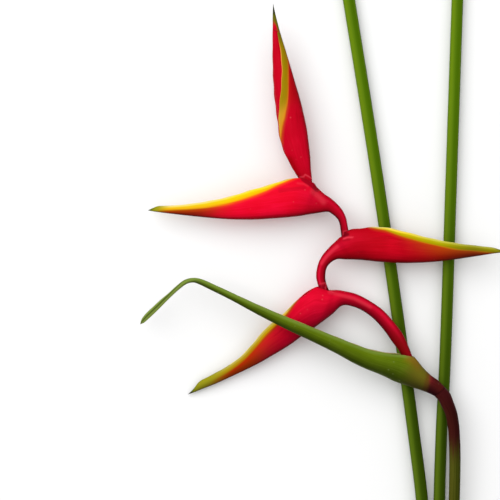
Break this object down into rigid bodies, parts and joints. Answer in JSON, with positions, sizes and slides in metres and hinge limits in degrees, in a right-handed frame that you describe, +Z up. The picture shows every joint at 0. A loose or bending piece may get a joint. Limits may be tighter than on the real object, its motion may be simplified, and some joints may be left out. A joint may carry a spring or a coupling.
{
  "type": "heliconia flower",
  "caption": "Cut heliconia stem lying down: a zigzag flower head of long boat-shaped red and green bracts on a curved flower stalk beside slim green leaf stalks.",
  "frame": {"origin": "on the flat strip along the underside of the sheathed stem, about halfway along the sheathed length, in the plane of the surface the stem lies on", "axes": "+Y along the stem from its cut end towards the flower head, +Z up from the surface it lies on, +X to the right seen from above"},
  "size_m": [0.1859, 0.9, 0.0232],
  "materials": {
    "stalk_green": "smooth fresh plant skin, half gloss",
    "stalk_olive": "smooth fresh plant skin, green below turning dark maroon at the top",
    "bract_green": "waxy bract skin, half gloss",
    "bract_red": "waxy bract skin, red with yellow margins and olive tips"
  },
  "bodies": {
    "root": {"leaf_stalk_left": "stalk_green", "leaf_stalk_right": "stalk_green", "flower_stalk": "stalk_olive", "bract_green": "bract_green", "bract_red_lower": "bract_red", "bract_red_right": "bract_red", "bract_red_left": "bract_red", "bract_red_top": "bract_red", "bract_red_young": "bract_red"}
  },
  "joints": []
}
